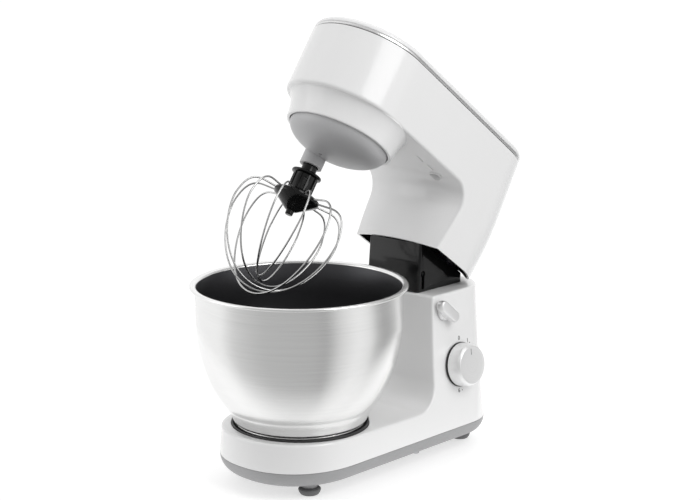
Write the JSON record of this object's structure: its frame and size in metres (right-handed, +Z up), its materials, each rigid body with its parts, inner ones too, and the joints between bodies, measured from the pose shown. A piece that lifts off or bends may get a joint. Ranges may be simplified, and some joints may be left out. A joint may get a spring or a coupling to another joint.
{
  "type": "stand mixer",
  "caption": "Tilt-head stand mixer: steel bowl on a bayonet seat, planetary drive with a wire whisk, side speed knob and head release lever.",
  "frame": {"origin": "on the floor under the middle of the whole mixer's box, its head raised and its bowl on", "axes": "+Z up; the bowl side faces -Y; the speed knob and the lever are on the +X side"},
  "size_m": [0.2196, 0.4102, 0.4648],
  "materials": {
    "white_gloss": "glossy moulded plastic",
    "silver_plastic": "silver-grey satin plastic",
    "satin_aluminium": "satin, turned or brushed",
    "steel": "bright stainless steel",
    "black_gloss": "glossy moulded plastic",
    "black_plastic": "fine matt texture",
    "rubber": "soft matt rubber",
    "cast_metal": "die cast",
    "zinc_steel": "zinc plated steel",
    "bronze": "sintered bronze",
    "copper": "copper windings",
    "white_nylon": "natural nylon",
    "board_green": "solder mask"
  },
  "bodies": {
    "body": {"body_shell": "white_gloss", "bottom_pan": "silver_plastic", "foot_1": "rubber", "foot_2": "rubber", "foot_3": "rubber", "foot_4": "rubber", "pan_screw_1": "zinc_steel", "pan_screw_2": "zinc_steel", "pan_screw_3": "zinc_steel", "pan_screw_4": "zinc_steel", "neck_cover": "black_gloss", "hinge_bracket": "zinc_steel", "hinge_bush_left": "bronze", "hinge_bush_right": "bronze", "bowl_seat": "black_plastic", "knob_ring": "black_plastic", "speed_switch": "black_plastic", "control_board": "board_green", "cord_gland": "black_plastic"},
    "bowl": {"bowl": "steel", "bowl_foot_ring": "steel"},
    "knob": {"speed_knob": "satin_aluminium", "knob_shaft": "zinc_steel"},
    "lever": {"release_lever": "satin_aluminium", "lever_shaft": "zinc_steel", "latch_hook": "zinc_steel"},
    "head": {"head_shell": "white_gloss", "head_liner": "black_plastic", "trim_band": "satin_aluminium", "top_lid": "white_gloss", "head_chassis": "zinc_steel", "hinge_pin": "zinc_steel", "latch_cam": "zinc_steel", "motor_bracket": "zinc_steel", "motor_stator": "cast_metal", "drive_belt": "rubber", "gear_housing": "cast_metal", "bearing_lower": "steel", "bearing_upper": "steel", "ring_gear": "white_nylon"},
    "rotor": {"motor_rotor": "copper", "cooling_fan": "white_nylon", "drive_pulley": "zinc_steel"},
    "carrier": {"planet_carrier": "silver_plastic", "spindle_sleeve": "silver_plastic", "main_shaft": "zinc_steel", "driven_pulley": "black_plastic"},
    "whisk": {"planet_gear": "white_nylon", "whisk_spindle": "zinc_steel", "drive_pin": "zinc_steel", "whisk_hub": "black_gloss", "whisk_wire_1": "steel", "whisk_wire_2": "steel", "whisk_wire_3": "steel", "whisk_wire_4": "steel", "whisk_wire_5": "steel", "whisk_wire_6": "steel"}
  },
  "joints": [
    {"name": "head_tilt", "type": "hinge", "parent": "body", "child": "head", "pos_m": [0, 0.10673, 0.1974], "axis": [1, 0, 0], "range_deg": [0, 35.24]},
    {"name": "carrier_spin", "type": "hinge", "parent": "head", "child": "carrier", "pos_m": [0, -0.03724, 0.34368], "axis": [0, 0.577, 0.8167], "continuous": true},
    {"name": "whisk_spin", "type": "hinge", "parent": "carrier", "child": "whisk", "pos_m": [-0.02887, -0.04892, 0.313], "axis": [0, 0.577, 0.8167], "continuous": true},
    {"name": "rotor_spin", "type": "hinge", "parent": "head", "child": "rotor", "pos_m": [0, 0.07488, 0.34295], "axis": [0, 0.577, 0.8167], "continuous": true},
    {"name": "knob_turn", "type": "hinge", "parent": "body", "child": "knob", "pos_m": [0.06682, 0.07863, 0.0956], "axis": [0.9907, 0, 0.1361], "range_deg": [-180, 0]},
    {"name": "lever_turn", "type": "hinge", "parent": "body", "child": "lever", "pos_m": [0.05955, 0.05894, 0.1562], "axis": [0.9956, 0, 0.0942], "range_deg": [0, 30], "stiffness_Nm_per_rad": 0.6},
    {"name": "bowl_twist", "type": "hinge", "parent": "body", "child": "bowl", "pos_m": [0, -0.09527, 0.045], "axis": [0, 0, 1], "range_deg": [0, 34]}
  ],
  "couplings": [
    {"joint": "whisk_spin", "follows": "carrier_spin", "ratio": -3},
    {"joint": "rotor_spin", "follows": "carrier_spin", "ratio": 4.75}
  ]
}
